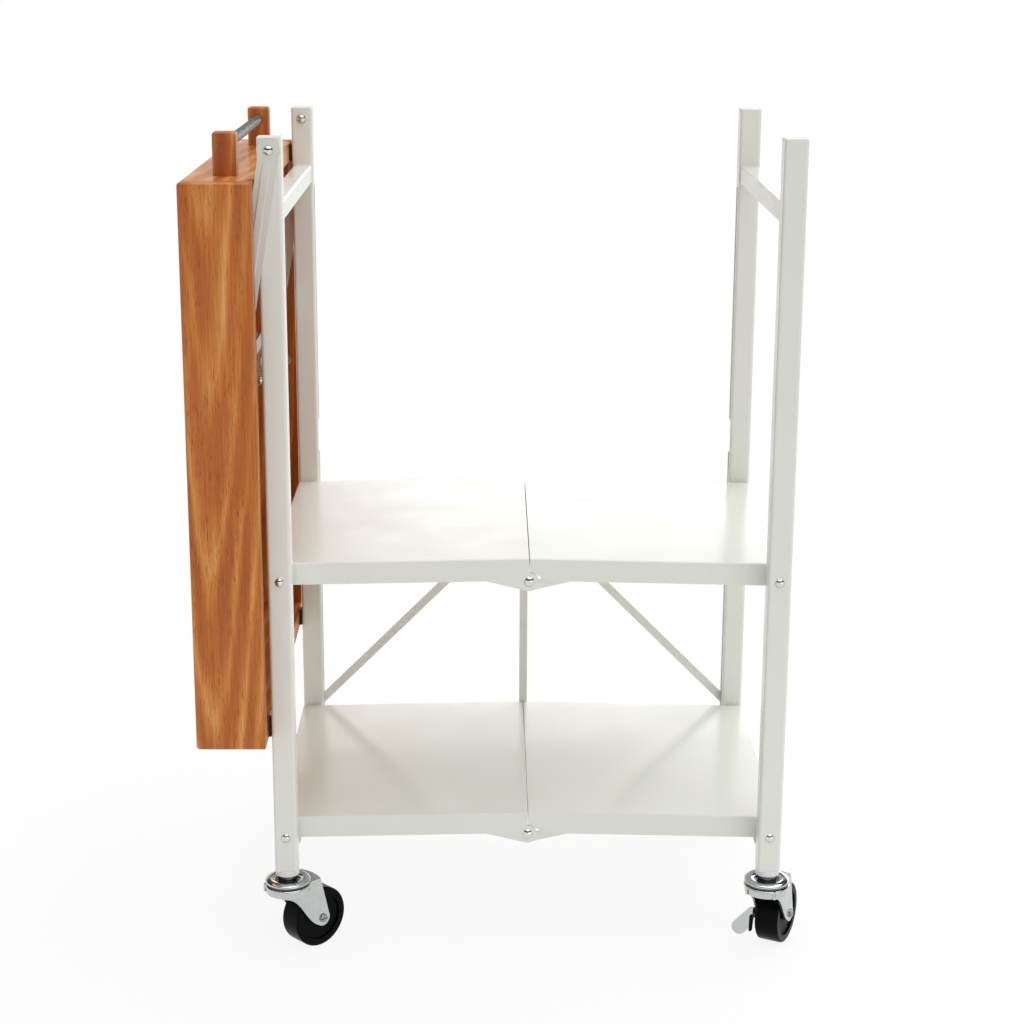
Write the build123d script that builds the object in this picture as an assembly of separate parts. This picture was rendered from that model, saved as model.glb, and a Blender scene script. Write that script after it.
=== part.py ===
"""Folding kitchen island cart: a white steel frame on casters with two shelves that fold
upwards at their middle, and a hollow wooden worktop that swings over on two arms and
hangs beside the left posts. Millimetres, X to the right, Y to the rear, Z up."""
from build123d import *
from math import asin, atan2, cos, degrees, hypot, radians, sin, tan
import os

os.makedirs("parts", exist_ok=True)

# Clearances
air = 0.3                  # between faces of pieces that move past each other
turning_fit = 0.05         # radial, a pin that turns in its hole
fixed_fit = 0.1            # radial, a pin that stays still in its hole

# Posts: upright square tubes, a front and a rear one at each end
post_width = 23.0
post_wall = 1.5
post_corner = 3.0
post_span = 492.0          # left post centres to right post centres
post_depth = 359.0         # front post centres to rear post centres
post_bottom = 94.0
post_top = 832.0
cap_height = 2.0
cap_spigot = 5.0
cap_edge = 0.8
spigot_slack = 0.15

# Crossbars: one near the top of each end frame, front post to rear post
crossbar_width = 20.0
crossbar_wall = 1.2
crossbar_corner = 3.0
crossbar_drop = 60.0       # post top down to the crossbar's top face

# Slot in the inner side of each rear post, for the braces' lower ends
slot_width = 10.0
slot_slack = 3.0           # slot's lower end below the brace's roller
slot_gap_above = 4.0       # slot top below the crossbar
notch_low = 445.0
notch_height = 38.0

# Shelves: two sheet steel halves each, hinged at the posts and at the middle
upper_pivot_z = 402.0
lower_pivot_z = 131.0
pivot_below_top = 12.0     # post pivot below the shelf's top face
centre_below_top = 24.0    # middle pivot below the shelf's top face
sheet = 1.5
flange_height = 22.5
seam_lip = 12.0
seam_gap = 1.0
shelf_bend = 2.0
spacer_thickness = 3.2     # between a post and the shelf's flange
ear_radius = 9.5
ear_taper = 43.0           # length of the flange's taper towards the middle ear
ear_relief = 0.8
doubler_height = 9.0
doubler_gap = 2.0
stop_tab_drop = 7.0
stop_tab_width = 23.0
stop_tab_slope = 2.0
fold_angle = 83.0          # each half's turn from flat when the cart is folded up
rest_fold = 1.15           # each half's turn from flat as the cart stands, its middle raised

# Screws, rivets and spacers
pin_radius = 3.0
spacer_radius = 7.0
head_radius = 4.7
head_height = 3.0
nut_radius = 5.2
nut_thickness = 4.0
cap_nut_flange = 1.2
cap_nut_radius = 4.4
cap_nut_height = 3.4
tail_radius = 4.5
tail_height = 2.0
rivet_head_radius = 5.2
rivet_head_height = 2.6

# Rear linkage: an upright bar between the middle pivots and two slanting braces
link_width = 9.0
link_thickness = 2.0
brace_width = 9.0
brace_thickness = 2.0
sleeve_radius = 4.8
brace_below_centre = 13.0      # the braces' rivet on the link bar, below its upper end's rivet
brace_end_above_pivot = 11.0   # brace's lower end above the lower shelf's post pivot
brace_end_inset = 6.0          # brace's lower end inwards from the rear post's centre
roller_radius = 4.0
roller_length = 8.4

# Worktop: a hollow wooden box, here hanging on end beside the left posts
board_length = 557.0
board_thickness = 68.0
slab_thickness = 18.0
apron_thickness = 20.0
board_edge = 3.5
board_drop = 37.0          # post top down to the hanging worktop's upper end
bumper_thickness = 3.0
bumper_width = 16.0
bumper_height = 17.0
bumper_edge = 0.8
notch_slack = 3.0          # around the hanging arm, in the notch of the towel bar's apron
notch_margin = 1.5         # beyond the arm's inner face

# Towel bar at the worktop's upper end
tab_width = 22.8
tab_thickness = 20.0
tab_height = 41.0
tab_edge = 3.0
tab_offset = 153.0         # tab centres either side of the middle
tab_inset = 30.1           # worktop's open side to the tab's middle
bar_radius = 5.25
bar_below_tab_top = 13.0
bar_socket = 8.0

# Swing arms between the left posts and the worktop
arm_pivot_below_top = 10.0
arm_width = 18.0
arm_thickness = 2.0
arm_head_radius = 11.0
arm_foot_radius = 10.0
arm_washer = 1.0
arm_rib_width = 8.0
arm_rib_height = 1.2
arm_rib_start = 16.0
arm_rib_slope = 0.96       # width of the rib's sloping edge
arm_pivot_inset = 30.0     # worktop's open side to the arm's pivot in it
tie_distance = 200.0
tie_width = 20.0
tie_thickness = 1.5
tie_tab = 15.0
tie_rivet_radius = 2.0
tie_head_radius = 4.0
tie_head_height = 1.0
tie_tail_radius = 3.0
bracket_gap = 5.0          # arm to bracket, filled by the stud's sleeve
bracket_thickness = 2.0
bracket_length = 70.0
bracket_tip_radius = 7.0
bracket_tip_reach = 24.0
bracket_screw_radius = 1.75
bracket_screw_length = 14.0
bracket_screw_head = 4.0
bracket_screw_head_height = 1.6
bracket_screw_spread = 24.0
bracket_screw_inset = 8.0    # from the slab
stud_depth = 12.0
stud_sleeve_radius = 5.0

# Casters: swivel fork with a 2.5 inch wheel
wheel_radius = 31.75
wheel_width = 25.0
tread_edge = 2.0
hub_radius = 24.0
hub_recess = 2.0           # hub's side below the tyre's side
hub_boss_radius = 8.0
hub_play = 0.4             # hub's boss to the fork, on each side
caster_trail = 33.0
axle_radius = 3.0
axle_head_radius = 4.6
axle_head_height = 2.2
axle_slot = 1.0
axle_nut_radius = 5.0
axle_nut_thickness = 4.0
fork_wall = 2.0
fork_inner_width = 27.6
fork_end_radius = 8.5
fork_reach = 30.5
fork_back_bulge = 3.0      # the deck's rounded rear edge
fork_front = 0.85          # the leg's front end at the crown, a share of its radius
fork_waist = (28.0, 17.5)  # ahead of the axle and below the crown's rim
fork_knee = (16.0, 2.2)    # ahead of the axle and above it
crown_radius = 22.5
crown_low = 68.5
crown_height = 8.7
crown_plate = 4.7
crown_wall = 2.5
crown_edge = 1.2
race_core_radius = 20.0
race_gap = 1.2             # open groove between the crown and the raceway's lip
raceway_radius = 23.0
raceway_lip = 3.6
raceway_edge = 2.4
raceway_dish = 1.4
raceway_dish_radius = 15.0
kingpin_radius = 4.0
kingpin_head_radius = 7.0
kingpin_head_height = 2.6
stem_radius = 5.0
stem_top = 114.0
stem_collar_radius = 9.5
foot_radius = 12.0
foot_height = 6.0
foot_spigot = 24.0
front_left_heading = 44.0      # degrees from +X towards the rear, the wheel's trailing side
front_right_heading = 63.0
rear_left_heading = 250.0
rear_right_heading = 215.0

# Brake levers on the right-hand casters, here pressed down
lever_thickness = 2.0
lever_ring_radius = 8.0
lever_width = 12.0
lever_reach = 21.0         # axle to the lever's bend
lever_rise = 3.0           # bend above the axle
pedal_width = 15.5
pedal_out = 15.0           # pedal's round end outwards from the fork
pedal_drop = 14.5          # pedal's round end below the axle
lever_travel = 22.0        # degrees, pedal lifted to free the wheel

# Places worked out from the sizes above
half_span = post_span / 2
half_depth = post_depth / 2
half_post = post_width / 2
front_face = half_depth + half_post            # outer face of the front and rear posts
inner_face = half_depth - half_post
shelf_face = inner_face - spacer_thickness - air
link_low = shelf_face + air
link_high = link_low + link_thickness
left_brace_low = half_depth - air / 2 - brace_thickness
right_brace_low = half_depth + air / 2
seat_z = post_top + cap_height
crossbar_top = post_top - crossbar_drop
slot_high = crossbar_top - crossbar_width - slot_gap_above
slot_low = lower_pivot_z + brace_end_above_pivot - roller_radius - slot_slack
board_top_z = post_top - board_drop
rim_x = -(half_span + half_post + bumper_thickness + air)
board_left = rim_x - board_thickness
board_low_z = board_top_z - board_length
slab_inner_x = board_left + slab_thickness
towel_bar_x = rim_x - tab_inset
towel_bar_z = board_top_z + tab_height - bar_below_tab_top
arm_pivot = (-half_span, post_top - arm_pivot_below_top)
arm_inner = front_face + arm_washer
arm_outer = arm_inner + arm_thickness
apron_inner = arm_outer + bracket_gap + bracket_thickness
board_half = apron_inner + apron_thickness
fork_outer = fork_inner_width / 2 + fork_wall
crown_high = crown_low + crown_height
crown_plate_low = crown_high - crown_plate
hub_width = wheel_width - 2 * hub_recess
hub_boss_width = fork_inner_width - 2 * hub_play

# Each shelf half is drawn flat about its post pivot and then turned by rest_fold, so that its
# middle pivot comes to the cart's middle plane
pivot_drop = centre_below_top - pivot_below_top
rest_sin = sin(radians(rest_fold))
rest_cos = cos(radians(rest_fold))
shelf_reach = (half_span - pivot_drop * rest_sin) / rest_cos
centre_rise = shelf_reach * rest_sin - pivot_drop * rest_cos
upper_centre_z = upper_pivot_z + centre_rise
lower_centre_z = lower_pivot_z + centre_rise
folded_across = shelf_reach * cos(radians(fold_angle)) + pivot_drop * sin(radians(fold_angle))

# The worktop's pivot is where one arm length serves both ends of its swing: hanging here,
# and lying level on the caps, centred over the posts, with its slab's underside at seat_z
hang_across = arm_pivot[0] - (rim_x - arm_pivot_inset)
hang_above = arm_pivot[1] - board_top_z
use_across = board_length / 2 + half_span
hollow_depth = board_thickness - slab_thickness
use_rise = seat_z + air - hollow_depth + arm_pivot_inset - arm_pivot[1]
pivot_from_end = ((use_across ** 2 + use_rise ** 2 - hang_across ** 2 - hang_above ** 2)
                  / (2 * (use_across + hang_above)))
board_pivot = (rim_x - arm_pivot_inset, board_top_z - pivot_from_end)
arm_length = hypot(board_pivot[0] - arm_pivot[0], board_pivot[1] - arm_pivot[1])
arm_lean = degrees(atan2(arm_pivot[0] - board_pivot[0], arm_pivot[1] - board_pivot[1]))
arm_use_angle = degrees(atan2(use_rise, use_across - pivot_from_end))
arm_swing = 270.0 - arm_lean - arm_use_angle   # clockwise from hanging to level
board_turn = arm_swing - 90.0                  # back against the arms, so it ends level

# The braces' length and their turn between open and folded
brace_across = half_span - brace_end_inset
brace_pivot_z = upper_centre_z - brace_below_centre
brace_end_z = lower_pivot_z + brace_end_above_pivot
brace_length = hypot(brace_across, brace_pivot_z - brace_end_z)
brace_angle = degrees(atan2(brace_across, brace_pivot_z - brace_end_z))
brace_folded_angle = degrees(asin((folded_across - brace_end_inset) / brace_length))
brace_turn = brace_angle - brace_folded_angle

nodes = {}


def keep(name, *pieces):
    """Keep the solids of one node."""
    nodes[name] = [solid for piece in pieces for solid in piece.solids()]


def block(x, y, z):
    """A box from its (low, high) pairs."""
    size = [high - low for low, high in (x, y, z)]
    middle = [(high + low) / 2 for low, high in (x, y, z)]
    return Pos(*middle) * Box(*size)


def rod_y(x, z, radius, y_low, y_high):
    """A round rod along Y."""
    return Pos(x, (y_low + y_high) / 2, z) * Rot(90, 0, 0) * Cylinder(radius, y_high - y_low)


def rod_z(x, y, radius, z_low, z_high):
    """A round rod along Z."""
    return Pos(x, y, (z_low + z_high) / 2) * Cylinder(radius, z_high - z_low)


def ring_y(x, z, outer, inner, y_low, y_high):
    """A washer or sleeve along Y."""
    return rod_y(x, z, outer, y_low, y_high) - rod_y(x, z, inner, y_low - 1, y_high + 1)


def plate_y(points, y_low, y_high):
    """A flat plate across Y from its (x, z) outline."""
    outline = Polyline(*[(x, y_low, z) for x, z in points], close=True)
    return extrude(make_face(outline), amount=y_high - y_low, dir=(0, 1, 0))


def dome_y(x, z, radius, height, y):
    """A domed head on a face at y, standing out towards -Y."""
    sphere = (radius ** 2 + height ** 2) / (2 * height)
    middle = radius * 0.6
    rise = (sphere ** 2 - middle ** 2) ** 0.5 - sphere + height
    curve = ThreePointArc((radius, 0), (middle, rise), (0, height))
    face = make_face([Line((0, 0), (radius, 0)), curve, Line((0, height), (0, 0))])
    return Pos(x, y, z) * Rot(180, 0, 0) * revolve(face, Axis.Y)


def nut_y(x, z, radius, y_low, y_high, hole):
    """A hexagon nut along Y."""
    hexagon = extrude(RegularPolygon(radius, 6), amount=y_high - y_low)
    return Pos(x, y_high, z) * Rot(90, 0, 0) * hexagon - rod_y(x, z, hole, y_low - 1, y_high + 1)


def cap_nut_y(x, z, y):
    """A cap nut with a round flange on a face at y, standing out towards +Y."""
    dome = to_rear(dome_y(x, z, cap_nut_radius, cap_nut_height, -y - cap_nut_flange))
    nut = dome + rod_y(x, z, nut_radius, y, y + cap_nut_flange)
    return nut - rod_y(x, z, pin_radius + turning_fit, y - 1, y + cap_nut_flange + air)


def tube_z(x, y, width, wall, corner, z_low, z_high):
    """An upright square tube."""
    outer = RectangleRounded(width, width, corner)
    inner = RectangleRounded(width - 2 * wall, width - 2 * wall, corner - wall)
    return Pos(x, y, z_low) * extrude(outer - inner, amount=z_high - z_low)


def to_rear(piece):
    """The same piece at the rear."""
    return mirror(piece, about=Plane.XZ)


def to_right(piece):
    """The same piece at the other end."""
    return mirror(piece, about=Plane.YZ)


def bar_between(start, end, width, y_low, y_high):
    """A flat bar with round ends between two (x, z) points."""
    run = hypot(end[0] - start[0], end[1] - start[1])
    across = (width / 2 * (end[1] - start[1]) / run, -width / 2 * (end[0] - start[0]) / run)
    corners = [(start[0] + across[0], start[1] + across[1]), (end[0] + across[0], end[1] + across[1]),
               (end[0] - across[0], end[1] - across[1]), (start[0] - across[0], start[1] - across[1])]
    bar = plate_y(corners, y_low, y_high)
    for x, z in (start, end):
        bar += rod_y(x, z, width / 2, y_low, y_high)
    return bar


def tangent_below(point, centre, radius):
    """Where a line from a point to the left touches the underside of a circle."""
    reach = hypot(centre[0] - point[0], centre[1] - point[1])
    aim = atan2(centre[1] - point[1], centre[0] - point[0]) - asin(radius / reach)
    return centre[0] + radius * sin(aim), centre[1] - radius * cos(aim)


def turned(point, centre, angle):
    """A point turned about a centre, anticlockwise as seen from the front."""
    x = point[0] - centre[0]
    z = point[1] - centre[1]
    c = cos(radians(angle))
    s = sin(radians(angle))
    return centre[0] + x * c - z * s, centre[1] + x * s + z * c


def left_post(rear, holes):
    """A left post with its screw holes, and the brace slot and notch in a rear one."""
    post = tube_z(-half_span, -half_depth, post_width, post_wall, post_corner, post_bottom, post_top)
    for z in holes:
        post -= rod_y(-half_span, z, pin_radius + fixed_fit, -front_face - 1, -inner_face + 1)
    if not rear:
        return post
    inside = -half_span + half_post
    mouth = (inside - post_wall - 1, inside + 1)
    slot = (-half_depth - slot_width / 2, -half_depth + slot_width / 2)
    post -= block(mouth, slot, (slot_low, slot_high))
    lip = (-front_face - 1, -half_depth)
    post -= block((inside - post_corner, inside + 1), lip, (notch_low, notch_low + notch_height))
    return to_rear(post)


def crossbar():
    """The left end frame's square tube between its posts."""
    outer = RectangleRounded(crossbar_width, crossbar_width, crossbar_corner)
    inside = crossbar_width - 2 * crossbar_wall
    section = outer - RectangleRounded(inside, inside, crossbar_corner - crossbar_wall)
    tube = extrude(section, amount=2 * inner_face)
    return Pos(-half_span, inner_face, crossbar_top - crossbar_width / 2) * Rot(90, 0, 0) * tube


def post_cap():
    """The plastic cap on the front left post's top."""
    top = extrude(RectangleRounded(post_width, post_width, post_corner), amount=cap_height)
    top = fillet(top.edges().group_by(Axis.Z)[-1], cap_edge)
    inside = post_width - 2 * (post_wall + spigot_slack)
    spigot = extrude(RectangleRounded(inside, inside, post_corner - post_wall), amount=-cap_spigot)
    return Pos(-half_span, -half_depth, post_top) * (top + spigot)


def foot_plug():
    """The plastic plug in the front left post's lower end, with the hole for the caster's stem."""
    inside = post_width - 2 * (post_wall + spigot_slack)
    spigot = extrude(RectangleRounded(inside, inside, post_corner - post_wall), amount=foot_spigot)
    collar = extrude(Circle(foot_radius), amount=-foot_height)
    hole = Cylinder(stem_radius + fixed_fit, 4 * foot_spigot)
    return Pos(-half_span, -half_depth, post_bottom) * (spigot + collar - hole)


def pivot_screw(z):
    """A front left shelf screw: domed head, shank and the nut inside the flange."""
    nut_front = -shelf_face + sheet + air
    nut_back = nut_front + nut_thickness
    screw = dome_y(-half_span, z, head_radius, head_height, -front_face)
    screw += rod_y(-half_span, z, pin_radius, -front_face, nut_back)
    nut = nut_y(-half_span, z, nut_radius, nut_front, nut_back, pin_radius + turning_fit)
    return screw, nut


def pivot_spacer(z):
    """The spacer ring on a front left shelf screw, between post and flange."""
    return ring_y(-half_span, z, spacer_radius, pin_radius + fixed_fit,
                  -inner_face, -shelf_face - air)


def arm_screw():
    """The front left arm screw: domed head, shank through the post and the cap nut behind it."""
    x, z = arm_pivot
    screw = dome_y(x, z, head_radius, head_height, -arm_outer - air)
    screw += rod_y(x, z, pin_radius, -arm_outer - air, -inner_face + cap_nut_flange)
    nut = cap_nut_y(x, z, -inner_face)
    washer = ring_y(x, z, spacer_radius, pin_radius + fixed_fit, -arm_inner + air, -front_face)
    return screw, nut, washer


def middle_ear(centre, flange_low, y_low, y_high):
    """The left flange's taper and round ear about the middle pivot."""
    taper = (-ear_taper, flange_low)
    touch = tangent_below(taper, centre, ear_radius)
    web = [taper, touch, centre, (-seam_gap / 2, flange_low + ear_relief),
           (-ear_taper, flange_low + ear_relief)]
    return plate_y(web, y_low, y_high) + rod_y(*centre, ear_radius, y_low, y_high)


def shelf_half(pivot_z, nested, stop_tabs):
    """A left shelf half: a sheet tray with turned-down edges and a hinge ear at each corner.
    A nested half carries its middle ears one sheet further in, so that the other half's
    ears lie outside them, and its flange is cut back where those swing past."""
    top = pivot_z + pivot_below_top
    low = top - flange_height
    centre = (0, top - centre_below_top)
    outer_x = -shelf_reach - half_post
    seam_x = -seam_gap / 2 + centre_below_top * rest_sin
    tray = block((outer_x, seam_x), (-shelf_face, shelf_face), (low, top))
    rim = [e for e in tray.edges().group_by(Axis.Z)[-1] if e.center().X < seam_x - sheet]
    tray = fillet(rim, shelf_bend)
    inside_y = (-shelf_face + sheet, shelf_face - sheet)
    tray -= block((outer_x + sheet, seam_x - sheet), inside_y, (low - 1, top - sheet))
    tray -= block((seam_x - 2 * sheet, seam_x + 1), inside_y, (low - 1, top - seam_lip))
    outer = (-shelf_face, -shelf_face + sheet)
    inner = (outer[1] + air, outer[1] + air + sheet)
    if nested:
        gone = rod_y(*centre, ear_radius + ear_relief, outer[0] - 1, outer[1] + air)
        touch = tangent_below((-ear_taper, low), centre, ear_radius)
        swept = [turned(p, centre, -2 * fold_angle) for p in ((ear_taper, low), (-touch[0], touch[1]))]
        wedge = [(swept[0][0], swept[0][1] - ear_radius), (0, swept[0][1] - ear_radius),
                 (0, swept[1][1] + ear_relief), (swept[1][0], swept[1][1] + ear_relief),
                 (swept[0][0], swept[0][1] + ear_relief)]
        gone += plate_y(wedge, outer[0] - 1, outer[1] + air)
        front = middle_ear(centre, low, *inner)
        doubler = ((-ear_taper, -ear_radius - doubler_gap), (low, low + doubler_height))
        front += block(doubler[0], inner, doubler[1])
        front += block(doubler[0], (outer[1], inner[0]), doubler[1]) - gone
        middle_hole = pin_radius + turning_fit
    else:
        gone = None
        front = middle_ear(centre, low, *outer)
        middle_hole = pin_radius + fixed_fit
    if stop_tabs:
        half_tab = stop_tab_width / 2
        sides = (-shelf_reach - half_tab, -shelf_reach + half_tab)
        tab = [(sides[0] + stop_tab_slope, low - stop_tab_drop), (sides[0], low),
               (sides[1] + stop_tab_slope, low), (sides[1], low - stop_tab_drop)]
        front += plate_y(tab, *outer)
    for y_turn in (lambda piece: piece, to_rear):
        if gone is not None:
            tray -= y_turn(gone)
        tray += y_turn(front)
    reach = shelf_face + 1
    tray -= rod_y(-shelf_reach, pivot_z, pin_radius + turning_fit, -reach, reach)
    tray -= rod_y(*centre, middle_hole, -reach, reach)
    return Pos(0, 0, pivot_z + centre_rise) * Rot(0, -rest_fold, 0) * Pos(0, 0, -centre[1]) * tray


def front_rivet(centre_z):
    """The front middle rivet: domed head, shank and the clenched end inside the ears."""
    clench = -shelf_face + 2 * sheet + 2 * air
    rivet = dome_y(0, centre_z, rivet_head_radius, rivet_head_height, -shelf_face)
    rivet += rod_y(0, centre_z, pin_radius, -shelf_face, clench + tail_height)
    return rivet + rod_y(0, centre_z, tail_radius, clench, clench + tail_height)


def rear_rivet(centre_z):
    """A rear middle rivet that carries an end of the link bar."""
    clench = shelf_face - 2 * sheet - 2 * air
    rivet = to_rear(dome_y(0, centre_z, rivet_head_radius, rivet_head_height, -link_high - air))
    rivet += rod_y(0, centre_z, pin_radius, clench - tail_height, link_high + air)
    return rivet + rod_y(0, centre_z, tail_radius, clench - tail_height, clench)


def brace_rivet():
    """The rivet on the link bar that both braces turn on, flush inside, and its sleeve."""
    outer_end = right_brace_low + brace_thickness + air
    rivet = to_rear(dome_y(0, brace_pivot_z, rivet_head_radius, rivet_head_height, -outer_end))
    rivet += rod_y(0, brace_pivot_z, pin_radius, link_low, outer_end)
    sleeve = ring_y(0, brace_pivot_z, sleeve_radius, pin_radius + fixed_fit,
                    link_high + air, left_brace_low - air)
    return rivet, sleeve


def link_bar():
    """The upright bar between the middle rivets, with the hole for the braces' rivet."""
    bar = bar_between((0, upper_centre_z), (0, lower_centre_z), link_width, link_low, link_high)
    for end_z in (upper_centre_z, lower_centre_z):
        bar -= rod_y(0, end_z, pin_radius + turning_fit, link_low - 1, link_high + 1)
    return bar - rod_y(0, brace_pivot_z, pin_radius + fixed_fit, link_low - 1, link_high + 1)


def brace(y_low):
    """The left brace, with the roller on its lower end that runs in the rear post's slot."""
    lower = (-brace_across, brace_end_z)
    bar = bar_between((0, brace_pivot_z), lower, brace_width, y_low, y_low + brace_thickness)
    bar += rod_y(*lower, roller_radius, half_depth - roller_length / 2, half_depth + roller_length / 2)
    return bar - rod_y(0, brace_pivot_z, pin_radius + turning_fit, y_low - 1, y_low + brace_thickness + 1)


def swing_arm():
    """The front swing arm: a stamped strip with round ends, a long raised rib and two holes."""
    y = (-arm_outer, -arm_inner)
    arm = bar_between((0, 0), (0, -arm_length), arm_width, *y)
    arm += rod_y(0, 0, arm_head_radius, *y)
    arm += rod_y(0, -arm_length, arm_foot_radius, *y)
    rib_ends = ((0, -arm_rib_start), (0, arm_rib_start - arm_length))
    rib = bar_between(*rib_ends, arm_rib_width, -arm_outer - arm_rib_height, -arm_outer)
    rib = chamfer(rib.faces().sort_by(Axis.Y)[0].edges(), arm_rib_slope)
    arm += rib
    for z in (0, -arm_length):
        arm -= rod_y(0, z, pin_radius + turning_fit, -arm_outer - 1, -arm_inner + 1)
    for z in tie_rivet_heights():
        arm -= rod_y(0, z, tie_rivet_radius + fixed_fit, -arm_outer - arm_rib_height - 1, -arm_inner + 1)
    return hang(arm)


def hang(piece):
    """A piece drawn straight down from the arm pivot, turned to the hanging arm's lean."""
    return Pos(arm_pivot[0], 0, arm_pivot[1]) * Rot(0, arm_lean, 0) * piece


def tie_rivet_heights():
    """The two rivets that hold each end of the tie."""
    return (-tie_distance - tie_width / 4, -tie_distance + tie_width / 4)


def arm_tie():
    """The strip that ties the two arms, with its ends turned flat against them."""
    edge = arm_width / 2
    height = (-tie_distance - tie_width / 2, -tie_distance + tie_width / 2)
    strip = block((edge - tie_thickness, edge), (-arm_inner, arm_inner), height)
    tab = block((edge - tie_tab, edge), (-arm_inner, -arm_inner + tie_thickness), height)
    for z in tie_rivet_heights():
        tab -= rod_y(0, z, tie_rivet_radius + fixed_fit, -arm_inner - 1, -arm_inner + tie_thickness + 1)
    return hang(strip + tab + to_rear(tab))


def tie_rivet(z):
    """A rivet through the front arm's rib and the tie's end."""
    head_y = -arm_outer - arm_rib_height
    rivet = dome_y(0, z, tie_head_radius, tie_head_height, head_y)
    rivet += rod_y(0, z, tie_rivet_radius, head_y, -arm_inner + tie_thickness)
    back = -arm_inner + tie_thickness
    return hang(rivet + rod_y(0, z, tie_tail_radius, back, back + tie_head_height))


def worktop_box():
    """The worktop's whole outer form, rounded on all but the rim of its open side."""
    form = block((board_left, rim_x), (-board_half, board_half), (board_low_z, board_top_z))
    rounded = [e for e in form.edges() if e.center().X < rim_x - 1]
    return fillet(rounded, board_edge)


def part_of(form, x, y, z):
    """What a box cuts out of a form."""
    return form & block(x, y, z)


def towel_tab():
    """The front wooden tab of the towel bar."""
    x = (towel_bar_x - tab_width / 2, towel_bar_x + tab_width / 2)
    y = (-tab_offset - tab_thickness / 2, -tab_offset + tab_thickness / 2)
    tab = block(x, y, (board_top_z, board_top_z + tab_height))
    tab = fillet([e for e in tab.edges() if e.center().Z > board_top_z + 1], tab_edge)
    return tab - rod_y(towel_bar_x, towel_bar_z, bar_radius + fixed_fit, y[1] - bar_socket, y[1] + 1)


def bracket():
    """The front pivot bracket: a triangular steel plate on the apron's inner face."""
    x, z = board_pivot
    tip = (x + bracket_tip_reach - bracket_tip_radius, z)
    root_x = slab_inner_x + 1
    low = (root_x, z - bracket_length / 2)
    touch = tangent_below(low, tip, bracket_tip_radius)
    high = (touch[0], 2 * z - touch[1])
    outline = [low, touch, high, (root_x, z + bracket_length / 2)]
    y = (-apron_inner, -apron_inner + bracket_thickness)
    plate = plate_y(outline, *y) + rod_y(*tip, bracket_tip_radius, *y)
    for sx, sz in bracket_screw_places():
        plate -= rod_y(sx, sz, bracket_screw_radius + fixed_fit, y[0] - 1, y[1] + 1)
    return plate - rod_y(x, z, pin_radius + fixed_fit, y[0] - 1, y[1] + 1)


def bracket_screw_places():
    """The two wood screws of a bracket."""
    x = slab_inner_x + bracket_screw_inset
    return ((x, board_pivot[1] - bracket_screw_spread), (x, board_pivot[1] + bracket_screw_spread))


def bracket_screw(x, z):
    """A domed wood screw through the bracket into the apron."""
    face = -apron_inner + bracket_thickness
    head = Pos(x, face, z) * Rot(180, 0, 0) * Pos(-x, 0, -z) * dome_y(
        x, z, bracket_screw_head, bracket_screw_head_height, 0)
    return head + rod_y(x, z, bracket_screw_radius, face - bracket_screw_length, face)


def pivot_stud():
    """The front stud that the arm's lower end turns on, held in the bracket and the apron."""
    x, z = board_pivot
    face = -apron_inner + bracket_thickness
    stud = rod_y(x, z, pin_radius, face - bracket_thickness - stud_depth, -arm_inner + air)
    stud += rod_y(x, z, stud_sleeve_radius, face, -arm_outer - air)
    return stud + rod_y(x, z, nut_radius, -arm_inner + air, -arm_inner + air + tail_height)


def front_apron():
    """The front long side of the worktop, with the holes for its bracket's screws and stud."""
    side = part_of(worktop_box(), (board_left - 1, rim_x + 1), (-board_half - 1, -apron_inner),
                   (board_low_z - 1, board_top_z + 1))
    screw_depth = bracket_screw_length - bracket_thickness + 1
    for x, z in bracket_screw_places():
        side -= rod_y(x, z, bracket_screw_radius + fixed_fit, -apron_inner - screw_depth, -apron_inner + 1)
    stud_end = -apron_inner - stud_depth - 1
    return side - rod_y(*board_pivot, pin_radius + fixed_fit, stud_end, -apron_inner + 1)


def towel_end_apron():
    """The worktop's short side under the towel bar, notched where the hanging arms pass."""
    low = board_top_z - apron_thickness
    side = part_of(worktop_box(), (board_left - 1, rim_x + 1), (-apron_inner, apron_inner),
                   (low, board_top_z + 1))
    lean = radians(arm_lean)
    arm_edge = arm_pivot[0] - (arm_pivot[1] - low) * tan(lean) - arm_width / 2 / cos(lean)
    notch_y = (-apron_inner - 1, -arm_inner + notch_margin)
    notch = block((arm_edge - notch_slack, rim_x + 1), notch_y, (board_low_z, board_top_z + 1))
    return side - notch - to_rear(notch)


def bumper(z_low):
    """A rubber bumper on the rim, facing the front left post."""
    y = (-half_depth - bumper_width / 2, -half_depth + bumper_width / 2)
    pad = block((rim_x, rim_x + bumper_thickness), y, (z_low, z_low + bumper_height))
    return fillet([e for e in pad.edges() if e.center().X > rim_x + bumper_thickness - 0.1], bumper_edge)


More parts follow.
